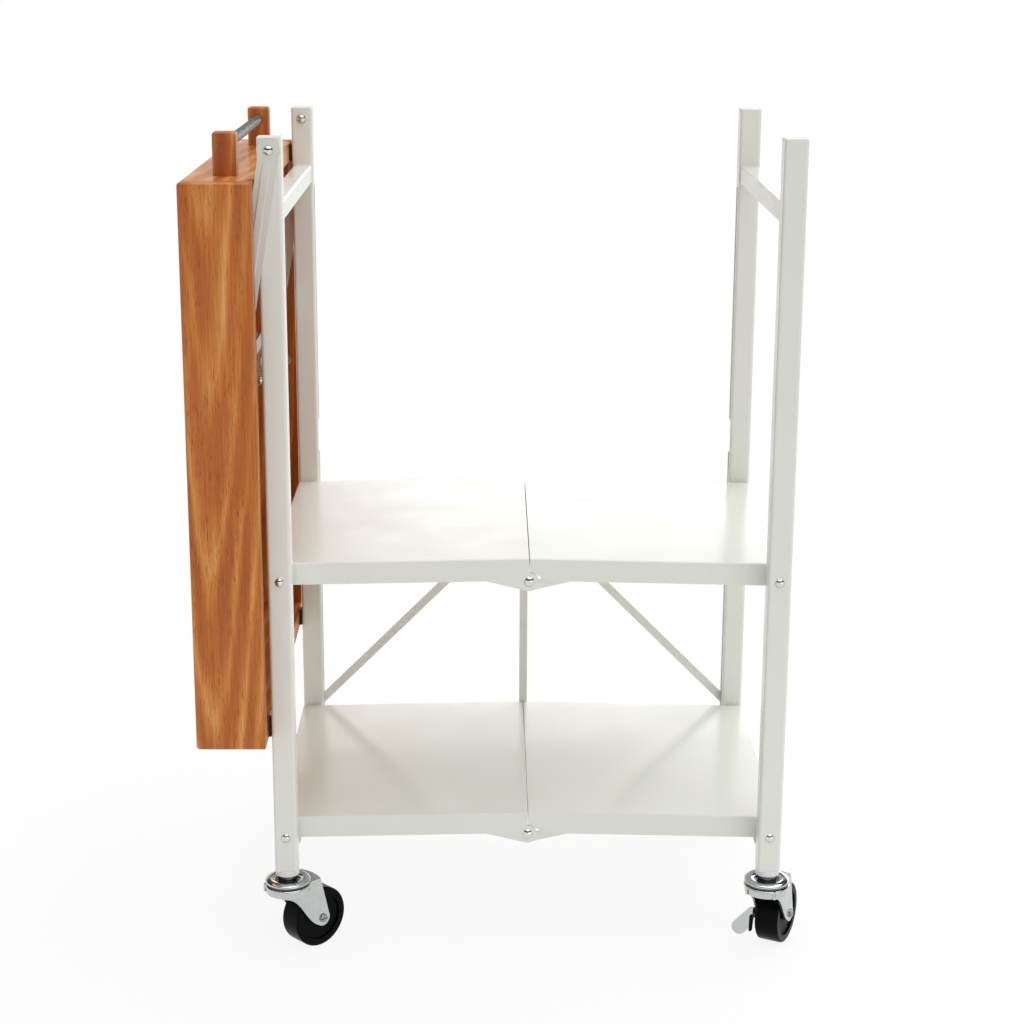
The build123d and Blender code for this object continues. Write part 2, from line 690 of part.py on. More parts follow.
def raceway():
    """A caster's fixed part: stem, collar, dished upper raceway with a rounded lip, and king pin."""
    low = crown_high + air
    lip = crown_high + race_gap
    high = lip + raceway_lip
    neck = stem_collar_radius + raceway_dish
    pin = [(0, crown_plate_low - air - kingpin_head_height),
           (kingpin_head_radius, crown_plate_low - air - kingpin_head_height),
           (kingpin_head_radius, crown_plate_low - air), (kingpin_radius, crown_plate_low - air),
           (kingpin_radius, low)]
    race = [(race_core_radius, low), (race_core_radius, lip), (raceway_radius, lip),
            (raceway_radius, high), (raceway_dish_radius, high), (neck, high - raceway_dish)]
    collar = [(stem_collar_radius, high - raceway_dish), (stem_collar_radius, post_bottom - foot_height),
              (stem_radius, post_bottom - foot_height), (stem_radius, stem_top), (0, stem_top)]
    face = make_face(Polyline(*[(r, 0, z) for r, z in pin + race + collar], close=True))
    part = revolve(face, Axis.Z)
    rim = [e for e in part.edges().filter_by(GeomType.CIRCLE)
           if abs(e.center().Z - high) < air and e.radius > raceway_radius - air]
    return fillet(rim, raceway_edge)


def fork():
    """A caster's fork about its swivel axis, with the wheel trailing along +X."""
    crown = rod_z(0, 0, crown_radius, crown_low, crown_high)
    crown = fillet(crown.edges().sort_by(Axis.Z)[-1], crown_edge)
    crown -= rod_z(0, 0, crown_radius - crown_wall, crown_low - 1, crown_plate_low)
    back = ThreePointArc((fork_reach, -fork_outer), (fork_reach + fork_back_bulge, 0),
                         (fork_reach, fork_outer))
    sides = Polyline((fork_reach, fork_outer), (0, fork_outer), (0, -fork_outer), (fork_reach, -fork_outer))
    deck = Pos(0, 0, crown_high - crown_wall) * extrude(make_face([back, sides]), amount=crown_wall)
    axle = (caster_trail, wheel_radius)
    start = (-crown_radius * fork_front, crown_low)
    waist = (caster_trail - fork_waist[0], crown_low - fork_waist[1])
    knee = (caster_trail - fork_knee[0], wheel_radius + fork_knee[1])
    touch = tangent_below(knee, axle, fork_end_radius)
    rear_edge = (caster_trail + fork_end_radius, wheel_radius)
    curve = Spline((start[0], 0, start[1]), (waist[0], 0, waist[1]), (knee[0], 0, knee[1]),
                   (touch[0], 0, touch[1]))
    edges = [curve, Line((touch[0], 0, touch[1]), (rear_edge[0], 0, rear_edge[1])),
             Line((rear_edge[0], 0, rear_edge[1]), (fork_reach, 0, crown_high)),
             Line((fork_reach, 0, crown_high), (start[0], 0, crown_high)),
             Line((start[0], 0, crown_high), (start[0], 0, start[1]))]
    leg = extrude(make_face(edges), amount=fork_wall, dir=(0, 1, 0))
    leg = Pos(0, fork_inner_width / 2, 0) * leg
    leg += rod_y(*axle, fork_end_radius, fork_inner_width / 2, fork_outer)
    body = crown + deck + leg + to_rear(leg)
    body -= rod_z(0, 0, kingpin_radius + turning_fit, crown_low - 1, crown_high + 1)
    return body - rod_y(*axle, axle_radius + fixed_fit, -2 * fork_outer, 2 * fork_outer)


def axle_bolt(outer_y):
    """A caster's axle bolt with a slotted head on one side and a nut on the other."""
    x, z = caster_trail, wheel_radius
    bolt = rod_y(x, z, axle_radius, -fork_outer, outer_y + axle_nut_thickness)
    head = rod_y(x, z, axle_head_radius, -fork_outer - axle_head_height, -fork_outer)
    head = fillet(head.edges().sort_by(Axis.Y)[0], axle_head_height / 2)
    groove = (-fork_outer - axle_head_height - 1, -fork_outer - axle_head_height / 2)
    across = (x - 2 * axle_head_radius, x + 2 * axle_head_radius)
    head -= block(across, groove, (z - axle_slot / 2, z + axle_slot / 2))
    nut = nut_y(x, z, axle_nut_radius, outer_y, outer_y + axle_nut_thickness, axle_radius + turning_fit)
    return bolt + head, nut


def wheel_hub():
    """The black moulded wheel centre."""
    x, z = caster_trail, wheel_radius
    hub = rod_y(x, z, hub_radius, -hub_width / 2, hub_width / 2)
    hub += rod_y(x, z, hub_boss_radius, -hub_boss_width / 2, hub_boss_width / 2)
    return hub - rod_y(x, z, axle_radius + turning_fit, -hub_boss_width, hub_boss_width)


def tyre():
    """The rubber tread ring with its rounded edges."""
    half = wheel_width / 2
    x, z = caster_trail, wheel_radius
    tread = rod_y(x, z, wheel_radius, -half, half)
    tread = fillet(tread.edges().filter_by(GeomType.CIRCLE), tread_edge)
    return tread - rod_y(x, z, hub_radius, -half - 1, half + 1)


def brake_lever():
    """The brake lever outside the fork's +Y leg: a ring about the axle, an arm forwards, and a
    pedal bent outwards from its end that slopes down to a round tip."""
    y = (fork_outer + air, fork_outer + air + lever_thickness)
    axle = (caster_trail, wheel_radius)
    bend = (caster_trail - lever_reach, wheel_radius + lever_rise)
    lever = bar_between(axle, bend, lever_width, *y) + rod_y(*axle, lever_ring_radius, *y)
    tip = (y[0] + pedal_out, wheel_radius - pedal_drop)
    paddle = bar_between((y[0], bend[1]), tip, pedal_width, -lever_thickness, 0)
    paddle = Pos(bend[0] - lever_width / 2, 0, 0) * Rot(0, 0, 90) * paddle
    paddle -= block((-fork_reach, fork_reach), (-fork_outer, y[0]), (-crown_high, crown_high))
    return lever + paddle - rod_y(*axle, axle_radius + turning_fit, y[0] - 1, y[1] + 1)


def front_and_rear(piece):
    """A piece and its twin at the rear."""
    return piece, to_rear(piece)


# End frames: the left one is drawn, the right one is its mirror image
shelf_pivots = (upper_pivot_z, lower_pivot_z)
arm_screw_shape, arm_nut_shape, arm_washer_shape = arm_screw()
keep("arm_screws", *front_and_rear(arm_screw_shape))
side_turns = {"left": lambda piece: piece, "right": to_right}
for side, turn in side_turns.items():
    left = side == "left"
    holes = (*shelf_pivots, arm_pivot[1]) if left else shelf_pivots
    keep(f"post_front_{side}", turn(left_post(False, holes)))
    keep(f"post_rear_{side}", turn(left_post(True, holes)))
    keep(f"crossbar_{side}", turn(crossbar()))
    plugs = [*front_and_rear(post_cap()), *front_and_rear(foot_plug())]
    keep(f"post_plugs_{side}", *[turn(p) for p in plugs])
    screws = []
    nuts = [*front_and_rear(arm_nut_shape)] if left else []
    rings = [*front_and_rear(arm_washer_shape)] if left else []
    for pivot_z in shelf_pivots:
        screw_shape, nut_shape = pivot_screw(pivot_z)
        screws += [turn(p) for p in front_and_rear(screw_shape)]
        nuts += [turn(p) for p in front_and_rear(nut_shape)]
        rings += [turn(p) for p in front_and_rear(pivot_spacer(pivot_z))]
    keep(f"pivot_screws_{side}", *screws)
    keep(f"screw_nuts_{side}", *nuts)
    keep(f"screw_spacers_{side}", *rings)

# Shelves: the left halves' ears lie outside the right halves' ears
keep("upper_shelf_left", shelf_half(upper_pivot_z, False, False))
keep("upper_shelf_right", to_right(shelf_half(upper_pivot_z, True, False)))
keep("lower_shelf_left", shelf_half(lower_pivot_z, False, True))
keep("lower_shelf_right", to_right(shelf_half(lower_pivot_z, True, True)))

# Rear linkage, from the shelf's flange outwards: bar, sleeve, left brace, right brace
keep("upper_centre_rivets", front_rivet(upper_centre_z), rear_rivet(upper_centre_z))
keep("lower_centre_rivets", front_rivet(lower_centre_z), rear_rivet(lower_centre_z))
keep("centre_link_bar", link_bar())
keep("brace_rivet", *brace_rivet())
keep("brace_left", brace(left_brace_low))
keep("brace_right", to_right(brace(right_brace_low)))

# Swing arms and their tie
keep("arm_front", swing_arm())
keep("arm_rear", to_rear(swing_arm()))
keep("arm_tie", arm_tie())
keep("arm_tie_rivets", *[p for z in tie_rivet_heights() for p in front_and_rear(tie_rivet(z))])

# Worktop
keep("apron_front", front_apron())
keep("apron_rear", to_rear(front_apron()))
keep("apron_towel_end", towel_end_apron())
keep("apron_far_end", part_of(worktop_box(), (board_left - 1, rim_x + 1), (-apron_inner, apron_inner),
                              (board_low_z - 1, board_low_z + apron_thickness)))
keep("worktop_slab", part_of(worktop_box(), (board_left - 1, slab_inner_x), (-apron_inner, apron_inner),
                             (board_low_z + apron_thickness, board_top_z - apron_thickness)))
keep("towel_tabs", *front_and_rear(towel_tab()))
bar_reach = tab_offset - tab_thickness / 2 + bar_socket - air
keep("towel_bar", rod_y(towel_bar_x, towel_bar_z, bar_radius, -bar_reach, bar_reach))
bumper_margin = (apron_thickness - bumper_height) / 2
bumper_heights = (board_low_z + bumper_margin, board_top_z - apron_thickness + bumper_margin)
keep("rim_bumpers", *[p for z in bumper_heights for p in front_and_rear(bumper(z))])
keep("pivot_brackets", *front_and_rear(bracket()))
keep("pivot_studs", *front_and_rear(pivot_stud()))
screw_shapes = [bracket_screw(x, z) for x, z in bracket_screw_places()]
keep("bracket_screws", *[p for shape in screw_shapes for p in front_and_rear(shape)])

# Casters: each one is drawn about its stem with the wheel trailing along +X, then turned
corners = {"front_left": (-1, -1, front_left_heading, False),
           "front_right": (1, -1, front_right_heading, True),
           "rear_left": (-1, 1, rear_left_heading, False),
           "rear_right": (1, 1, rear_right_heading, True)}
raceways = {"left": [], "right": []}
for corner, (across, back, heading, braked) in corners.items():
    place = Pos(across * half_span, back * half_depth, 0) * Rot(0, 0, heading)
    raceways["left" if across < 0 else "right"].append(place * raceway())
    bolt_end = fork_outer + (lever_thickness + 2 * air if braked else 0)
    bolt_shape, nut_shape = axle_bolt(bolt_end)
    keep(f"caster_fork_{corner}", place * fork())
    keep(f"axle_{corner}", place * bolt_shape, place * nut_shape)
    keep(f"wheel_hub_{corner}", place * wheel_hub())
    keep(f"tyre_{corner}", place * tyre())
    if braked:
        keep(f"brake_lever_{corner}", place * brake_lever())
for side, pieces in raceways.items():
    keep(f"caster_raceways_{side}", *pieces)

# The origin is under the middle of the whole cart, on the floor
whole = Compound([solid for solids in nodes.values() for solid in solids]).bounding_box()
origin_x = (whole.min.X + whole.max.X) / 2
origin_y = (whole.min.Y + whole.max.Y) / 2
print(f"origin {origin_x:.4f} {origin_y:.4f}, nodes {len(nodes)}")
for name, solids in nodes.items():
    placed = [Pos(-origin_x, -origin_y, 0) * solid for solid in solids]
    export_step(placed[0] if len(placed) == 1 else Compound(placed), f"parts/{name}.step")
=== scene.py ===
import bpy
from math import atan2, cos, pi, radians, sin, tan
from mathutils import Euler, Matrix, Vector


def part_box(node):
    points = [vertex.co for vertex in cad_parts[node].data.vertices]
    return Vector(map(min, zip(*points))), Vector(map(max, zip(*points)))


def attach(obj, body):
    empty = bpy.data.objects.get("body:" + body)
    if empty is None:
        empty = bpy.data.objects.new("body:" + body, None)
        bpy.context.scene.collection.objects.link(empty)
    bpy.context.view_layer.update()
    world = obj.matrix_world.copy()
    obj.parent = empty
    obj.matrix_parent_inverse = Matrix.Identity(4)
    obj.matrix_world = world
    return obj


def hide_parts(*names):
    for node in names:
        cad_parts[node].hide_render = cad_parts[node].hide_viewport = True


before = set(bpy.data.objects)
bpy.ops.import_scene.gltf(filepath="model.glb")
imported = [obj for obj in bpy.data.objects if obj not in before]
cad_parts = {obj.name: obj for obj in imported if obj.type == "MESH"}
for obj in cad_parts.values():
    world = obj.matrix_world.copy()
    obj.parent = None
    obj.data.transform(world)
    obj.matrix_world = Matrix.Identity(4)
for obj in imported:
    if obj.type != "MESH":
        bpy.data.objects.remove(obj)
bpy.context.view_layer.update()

bl_info = {
    "name": "Folding kitchen island cart",
    "version": (1, 0, 0),
    "blender": (4, 5, 0),
    "location": "3D View > Sidebar > Cart",
    "description": "Finishes and fine pieces for a folding steel cart with a swing-over wooden worktop",
    "category": "Object",
}

MM = 0.001
NOISE_SPAN = (0.3, 0.7)    # where most of a noise's values lie


def linear(code):
    """An sRGB hex colour as linear red, green and blue."""
    shown = [int(code[i:i + 2], 16) / 255 for i in (1, 3, 5)]
    return [c / 12.92 if c <= 0.04045 else ((c + 0.055) / 1.055) ** 2.4 for c in shown]


def add(tree, kind, inputs=None, stops=None, **settings):
    """Add one node with its settings, its input values or links, and a ramp's stops."""
    node = tree.nodes.new(kind)
    for name, value in settings.items():
        setattr(node, name, value)
    if stops:
        ramp = node.color_ramp.elements
        while len(ramp) < len(stops):
            ramp.new(0.5)
        for stop, (place, colour) in zip(ramp, stops):
            stop.position = place
            stop.color = (*(colour if hasattr(colour, "__len__") else [colour] * 3), 1)
    for key, value in (inputs or {}).items():
        if isinstance(value, bpy.types.NodeSocket):
            tree.links.new(value, node.inputs[key])
        else:
            node.inputs[key].default_value = value
    return node


def multiply_add(tree, value, factor, rest):
    """The value times the factor, plus the rest. Each is a number or a socket."""
    return add(tree, "ShaderNodeMath", {0: value, 1: factor, 2: rest}, operation="MULTIPLY_ADD").outputs[0]


def remap(tree, value, given, wanted):
    """A value carried from one range to another, and held at the ends."""
    ends = dict(zip((1, 2, 3, 4), (*given, *wanted)))
    return add(tree, "ShaderNodeMapRange", {"Value": value, **ends}).outputs[0]


def new_material(name, **constants):
    """A material with its Principled shader's constants set, and its object coordinates."""
    material = bpy.data.materials.new(name)
    material.use_nodes = True
    tree = material.node_tree
    tree.nodes.clear()
    shader = add(tree, "ShaderNodeBsdfPrincipled")
    for key, value in constants.items():
        shader.inputs[key.replace("_", " ")].default_value = value
    add(tree, "ShaderNodeOutputMaterial", {"Surface": shader.outputs[0]})
    return material, tree, shader, add(tree, "ShaderNodeTexCoord").outputs["Object"]


def noise(tree, place, size, detail, rough=0.5):
    """A noise pattern whose features measure size, given as one length or as one for each axis."""
    if not hasattr(size, "__len__"):
        size = (size,) * 3
    scaled = add(tree, "ShaderNodeMapping", {"Vector": place, "Scale": tuple(1 / s for s in size)})
    return add(tree, "ShaderNodeTexNoise", {"Vector": scaled.outputs[0], "Scale": 1.0, "Detail": detail,
                                            "Roughness": rough}).outputs[0]


def surface(tree, shader, colour, tint, cloud, rough, height, depth):
    """Link a two-tone colour and a roughness range, both in clouds, and a bump of real depth."""
    tone = add(tree, "ShaderNodeMix", {0: cloud, 6: (*colour, 1), 7: (*tint, 1)}, data_type="RGBA")
    bump = add(tree, "ShaderNodeBump", {"Height": height, "Strength": 1.0, "Distance": depth})
    tree.links.new(tone.outputs[2], shader.inputs["Base Color"])
    tree.links.new(remap(tree, cloud, NOISE_SPAN, rough), shader.inputs["Roughness"])
    tree.links.new(bump.outputs[0], shader.inputs["Normal"])


def powder_coated_steel(name, colour, peel):
    """Gloss polyester powder baked on sheet steel: a bright even skin with faint orange peel,
    slightly duller in clouds where the coat is thin."""
    material, tree, shader, place = new_material(name)
    surface(tree, shader, colour, tint=[c * 0.96 for c in colour], rough=(0.16, 0.26),
            cloud=noise(tree, place, 60 * MM, detail=3.0),
            height=noise(tree, place, peel, detail=1.0), depth=0.012 * MM)
    return material


def bright_zinc_plate(name, colour, rough):
    """Clear-passivated zinc plate on pressed steel: bright and a little cloudy, cooler in the
    clouds, with fine marks of the press tool. Nickel plate is made the same way, smoother."""
    material, tree, shader, place = new_material(name, Metallic=1.0)
    cool = [c * share for c, share in zip(colour, (0.88, 0.92, 0.94))]
    surface(tree, shader, colour, tint=cool, rough=(rough * 0.7, rough * 1.4),
            cloud=noise(tree, place, 9 * MM, detail=4.0),
            height=noise(tree, place, 0.8 * MM, detail=2.0), depth=0.006 * MM)
    return material


def moulded(name, colour, rough, grain, specular):
    """A moulded rubber or plastic: one even colour with the fine grain of the mould."""
    material, tree, shader, place = new_material(name, Specular_IOR_Level=specular)
    surface(tree, shader, colour, tint=[c * 0.85 for c in colour], rough=(rough * 0.85, rough * 1.15),
            cloud=noise(tree, place, 20 * MM, detail=2.0),
            height=noise(tree, place, grain, detail=2.0), depth=0.02 * MM)
    return material


def growth_rings(tree, board, look):
    """The tree's rings in a board, from 0 to 1. They are cones round the tree's axis, so they
    arch along the face, and they wander and fade in and out."""
    wander_across, wander_along = 22 * MM, 60 * MM
    x, y, z = add(tree, "ShaderNodeSeparateXYZ", {0: board}).outputs
    across = noise(tree, board, (70 * MM, 70 * MM, 260 * MM), detail=2.0)
    along = noise(tree, board, (45 * MM, 45 * MM, 120 * MM), detail=2.0)
    flat = add(tree, "ShaderNodeCombineXYZ", {0: multiply_add(tree, across, wander_across, x), 1: y})
    radius = add(tree, "ShaderNodeVectorMath", {0: flat.outputs[0]}, operation="LENGTH").outputs["Value"]
    cone = multiply_add(tree, multiply_add(tree, along, wander_along, z), -look.ring_taper, radius)
    count = add(tree, "ShaderNodeMath", {0: cone, 1: look.ring_spacing}, operation="DIVIDE")
    phase = add(tree, "ShaderNodeMath", {0: count.outputs[0]}, operation="FRACT")
    ring = add(tree, "ShaderNodeValToRGB", {"Fac": phase.outputs[0]},
               stops=((0.0, 0.0), (0.3, 0.1), (0.68, 1.0), (1.0, 0.0)))
    faint = noise(tree, board, (40 * MM, 40 * MM, 190 * MM), detail=2.0)
    shown = remap(tree, faint, (0.35, 0.55), (0.25, 0.7))
    return add(tree, "ShaderNodeMath", {0: ring.outputs[0], 1: shown}, operation="MULTIPLY").outputs[0]


def pore_depth(tree, board):
    """How dark the short pores are, which lie closer in some beds than in others."""
    pore = noise(tree, board, (0.9 * MM, 0.9 * MM, 11 * MM), detail=1.0)
    bed = noise(tree, board, (22 * MM, 22 * MM, 70 * MM), detail=2.0)
    marks, beds = remap(tree, pore, (0.6, 0.7), (0.0, 0.6)), remap(tree, bed, (0.35, 0.6), (0.25, 1.0))
    return add(tree, "ShaderNodeMath", {0: marks, 1: beds}, operation="MULTIPLY").outputs[0]


def lacquered_rubberwood(name, look, turn, centre, heart, paler, stave=False):
    """Plain-sawn rubberwood under clear satin lacquer: growth rings that arch along the face,
    amber and honey streaks, fine fibres, and short dark pores drawn a little coarse so that
    they show. The board's grain is turned to Z, and its middle lies at the heart's offset from
    the tree's own axis. A board may be paler than most, or darker below zero; on some boards
    this is painted light, on others painted shade. Each stave of a
    glued slab is cut from another part of the tree, and has its own random tone."""
    material, tree, shader, place = new_material(name, Coat_Weight=0.18, Coat_Roughness=0.16,
                                                 Specular_IOR_Level=0.3)
    shift = Vector(heart) - Euler(turn).to_matrix() @ Vector(centre)
    board = add(tree, "ShaderNodeMapping", {"Vector": place, "Location": shift, "Rotation": turn}).outputs[0]
    own_share = []
    if stave:
        own = add(tree, "ShaderNodeAttribute", attribute_name="stave_shade").outputs["Fac"]
        jump = add(tree, "ShaderNodeVectorMath", {0: own, 1: (0.31, 0.02, 2.7)}, operation="MULTIPLY")
        board = add(tree, "ShaderNodeVectorMath", {0: board, 1: jump.outputs[0]}, operation="ADD").outputs[0]
        own_share = [(own, 0.3)]
    streaks = noise(tree, board, (15 * MM, 15 * MM, 320 * MM), detail=3.0)
    fibre = noise(tree, board, (1.3 * MM, 1.3 * MM, 45 * MM), detail=5.0, rough=0.75)
    tone = paler - 0.055
    for pattern, share in [(growth_rings(tree, board, look), 0.34), (streaks, 0.6), (fibre, 0.5)] + own_share:
        tone = multiply_add(tree, pattern, share, tone)
    colour = add(tree, "ShaderNodeValToRGB", {"Fac": tone},
                 stops=((0.12, look.wood_deep), (0.38, look.wood_dark), (0.52, look.wood_mid),
                        (0.65, look.wood_warm), (0.85, look.wood_light)))
    pored = add(tree, "ShaderNodeMix", {0: pore_depth(tree, board), 6: colour.outputs[0],
                                        7: (*look.wood_pore, 1)}, data_type="RGBA")
    bump = add(tree, "ShaderNodeBump", {"Height": fibre, "Strength": 1.0, "Distance": 0.03 * MM})
    tree.links.new(pored.outputs[2], shader.inputs["Base Color"])
    tree.links.new(remap(tree, fibre, NOISE_SPAN, (0.34, 0.46)), shader.inputs["Roughness"])
    tree.links.new(bump.outputs[0], shader.inputs["Normal"])
    return material


def finish_nodes(material, *starts):
    """Give every CAD node whose name starts so this material."""
    for name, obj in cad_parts.items():
        if name.startswith(starts):
            obj.data.materials.clear()
            obj.data.materials.append(material)


def middle_of(node):
    """The middle of a CAD node's box."""
    low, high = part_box(node)
    return (low + high) / 2


def new_tree(name, **sockets):
    """A Geometry Nodes tree with a mesh in and out and the named inputs, and its inputs."""
    tree = bpy.data.node_groups.new(name, "GeometryNodeTree")
    kinds = {float: "NodeSocketFloat", int: "NodeSocketInt", "material": "NodeSocketMaterial"}
    tree.interface.new_socket("Geometry", in_out="OUTPUT", socket_type="NodeSocketGeometry")
    tree.interface.new_socket("Geometry", in_out="INPUT", socket_type="NodeSocketGeometry")
    for label, kind in sockets.items():
        tree.interface.new_socket(label, in_out="INPUT", socket_type=kinds[kind])
    return tree, add(tree, "NodeGroupInput").outputs


def end_tree(tree, instances, material):
    """Realise what the tree made and give it its material."""
    real = add(tree, "GeometryNodeRealizeInstances", {"Geometry": instances})
    finished = add(tree, "GeometryNodeSetMaterial", {"Geometry": real.outputs[0], "Material": material})
    add(tree, "NodeGroupOutput", {"Geometry": finished.outputs[0]})


def grow(name, tree, points, values, body):
    """The plain mesh that a Geometry Nodes tree makes on some points, riding on a body."""
    dots = bpy.data.meshes.new(name + "_points")
    dots.from_pydata(points, [], [])
    piece = bpy.data.objects.new(name, dots)
    bpy.context.scene.collection.objects.link(piece)
    modifier = piece.modifiers.new(name, "NODES")
    modifier.node_group = tree
    for item in tree.interface.items_tree:
        if item.in_out == "INPUT" and item.name in values:
            modifier[item.identifier] = values[item.name]
    graph = bpy.context.evaluated_depsgraph_get()
    made = bpy.data.meshes.new_from_object(piece.evaluated_get(graph))
    piece.modifiers.remove(modifier)
    piece.data = made
    made.name = name
    if not made.polygons:
        raise RuntimeError(f"{name} came out empty")
    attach(piece, body)
    return piece


def on_points(tree, points, instance):
    """A copy of an instance on each point."""
    return add(tree, "GeometryNodeInstanceOnPoints", {"Points": points, "Instance": instance}).outputs[0]


def stave_tree():
    """Long strips with eased edges laid side by side from each point along Y, grain along Z,
    each with its own shade."""
    tree, given = new_tree("edge_glued_staves", Count=int, Width=float, Length=float, Thickness=float,
                           Ease=float, Seed=int, Material="material")
    section = add(tree, "GeometryNodeCurvePrimitiveQuadrilateral",
                  {"Width": given["Thickness"], "Height": given["Width"]})
    eased = add(tree, "GeometryNodeFilletCurve",
                {"Curve": section.outputs[0], "Count": 2, "Radius": given["Ease"]}, mode="POLY")
    line = add(tree, "GeometryNodeCurvePrimitiveLine", {"Start": (0, 0, 0), "End": (0, 0, 1)})
    long = add(tree, "ShaderNodeCombineXYZ", {0: 1.0, 1: 1.0, 2: given["Length"]})
    spine = add(tree, "GeometryNodeTransform", {"Geometry": line.outputs[0], "Scale": long.outputs[0]})
    strip = add(tree, "GeometryNodeCurveToMesh",
                {"Curve": spine.outputs[0], "Profile Curve": eased.outputs[0], "Fill Caps": True})
    stave = add(tree, "GeometryNodeSetShadeSmooth", {"Geometry": strip.outputs[0], "Shade Smooth": False})
    step = add(tree, "ShaderNodeCombineXYZ", {1: given["Width"]})
    row = add(tree, "GeometryNodeMeshLine", {"Count": given["Count"], "Offset": step.outputs[0]})
    rows = on_points(tree, given["Geometry"], row.outputs[0])
    places = add(tree, "GeometryNodeRealizeInstances", {"Geometry": rows})
    laid = on_points(tree, places.outputs[0], stave.outputs[0])
    shade = add(tree, "FunctionNodeRandomValue", {"Seed": given["Seed"]}, data_type="FLOAT")
    shaded = add(tree, "GeometryNodeStoreNamedAttribute",
                 {"Geometry": laid, "Name": "stave_shade", "Value": shade.outputs[1]}, domain="INSTANCE")
    end_tree(tree, shaded.outputs[0], given["Material"])
    return tree


def weld_tree():
    """A rippled weld bead round a square tube's end, in the XZ plane, on each point."""
    tree, given = new_tree("weld_beads", Side=float, Corner=float, Bead=float, Ripple=float,
                           Material="material")
    points_per_ripple, ripple_depth = 5.0, 0.1
    square = add(tree, "GeometryNodeCurvePrimitiveQuadrilateral",
                 {"Width": given["Side"], "Height": given["Side"]})
    rounded = add(tree, "GeometryNodeFilletCurve",
                  {"Curve": square.outputs[0], "Count": 6, "Radius": given["Corner"]}, mode="POLY")
    fine = add(tree, "ShaderNodeMath", {0: given["Ripple"], 1: points_per_ripple}, operation="DIVIDE")
    path = add(tree, "GeometryNodeResampleCurve",
               {"Curve": rounded.outputs[0], "Length": fine.outputs[0]}, mode="LENGTH")
    walked = add(tree, "GeometryNodeSplineParameter").outputs["Length"]
    ripples = add(tree, "ShaderNodeMath", {0: walked, 1: given["Ripple"]}, operation="DIVIDE")
    turns = add(tree, "ShaderNodeMath", {0: ripples.outputs[0], 1: 2 * pi}, operation="MULTIPLY")
    wave = add(tree, "ShaderNodeMath", {0: turns.outputs[0]}, operation="SINE")
    swell = multiply_add(tree, wave.outputs[0], ripple_depth, 1.0)
    section = add(tree, "GeometryNodeCurvePrimitiveCircle", {"Resolution": 10, "Radius": given["Bead"]})
    bead = add(tree, "GeometryNodeCurveToMesh",
               {"Curve": path.outputs[0], "Profile Curve": section.outputs[0], "Scale": swell})
    upright = add(tree, "GeometryNodeTransform", {"Geometry": bead.outputs[0], "Rotation": (pi / 2, 0, 0)})
    end_tree(tree, on_points(tree, given["Geometry"], upright.outputs[0]), given["Material"])
    return tree


def rolled_ring_tree():
    """A rolled rim with an oval section round the Z axis, on each point."""
    tree, given = new_tree("rolled_rings", Radius=float, Half_width=float, Half_height=float,
                           Material="material")
    ring = add(tree, "GeometryNodeCurvePrimitiveCircle", {"Resolution": 96, "Radius": given["Radius"]})
    round_section = add(tree, "GeometryNodeCurvePrimitiveCircle", {"Resolution": 28, "Radius": 1.0})
    size = add(tree, "ShaderNodeCombineXYZ", {0: given["Half_width"], 1: given["Half_height"], 2: 1.0})
    oval = add(tree, "GeometryNodeTransform",
               {"Geometry": round_section.outputs[0], "Scale": size.outputs[0]})
    rim = add(tree, "GeometryNodeCurveToMesh", {"Curve": ring.outputs[0], "Profile Curve": oval.outputs[0]})
    end_tree(tree, on_points(tree, given["Geometry"], rim.outputs[0]), given["Material"])
    return tree


def colour_property(label, description, code):
    """A colour that a user may change, with its default from a hex code."""
    return bpy.props.FloatVectorProperty(name=label, description=description, subtype="COLOR", size=3,
                                         min=0.0, max=1.0, default=linear(code))


def length_property(label, description, default):
    """A length in metres that a user may change."""
    return bpy.props.FloatProperty(name=label, description=description, unit="LENGTH", precision=4,
                                   min=0.0, default=default)


class CART_PG_colours(bpy.types.PropertyGroup):
    """Colours of the cart's finishes"""
    coat: colour_property("Coat", "Powder coat on the steel frame and shelves", "#EDEEE6")
    # The arms' coat is greyer than the posts' coat.
    arm_coat: colour_property("Arms", "Greyer coat on the swing arms than on the posts", "#E2E2D9")
    plug: colour_property("Plugs", "Moulded caps and feet of the posts", "#F8F6F1")
    zinc: colour_property("Zinc", "Zinc plate on the casters and brackets", "#C9CBC8")
    # The raceways' dark colour is painted shade and a painted dark reflection in their dishes.
    race: colour_property("Raceways", "Zinc plate on the casters' raceways, darkened for painted shade and reflection", "#62656A")
    # The axles' zinc is darker than the rest, as a painted dark reflection on the axle heads.
    axle: colour_property("Axles", "Zinc plate on the casters' axle bolts", "#9DA09E")
    nickel: colour_property("Nickel", "Nickel plate on the screws and rivets", "#DAD9D4")
    bar_paint: colour_property("Towel bar", "Satin paint on the towel bar", "#55564F")
    rubber: colour_property("Bumpers", "Rubber bumpers on the worktop's rim", "#1C1C1E")
    wheel: colour_property("Wheels", "Tread and hub of the wheels", "#060706")
    acetal: colour_property("Spacers", "Acetal rings between posts and shelves", "#DDDCD4")


class CART_PG_wood(bpy.types.PropertyGroup):
    """Colours and grain of the worktop's wood"""
    wood_deep: colour_property("Deep", "Boards that are darker than most", "#7E3E12")
    wood_dark: colour_property("Dark", "Darkest streaks", "#A95819")
    wood_mid: colour_property("Middle", "Most of the face", "#BE6723")
    wood_warm: colour_property("Warm", "Warm lighter streaks", "#D08236")
    wood_light: colour_property("Light", "Pale bands of the growth rings", "#EBAE69")
    wood_pore: colour_property("Pores", "Short dark pores", "#6E340F")
    ring_spacing: length_property("Ring spacing", "Distance between growth rings", 14 * MM)
    ring_taper: bpy.props.FloatProperty(name="Ring taper", min=0.0, default=0.085,
                                        description="How fast the rings widen along the board")
    stave_width: length_property("Stave width", "Nominal width of the slab's glued strips", 42 * MM)
    stave_ease: length_property("Stave ease", "Rounding of the strips' edges", 0.3 * MM)


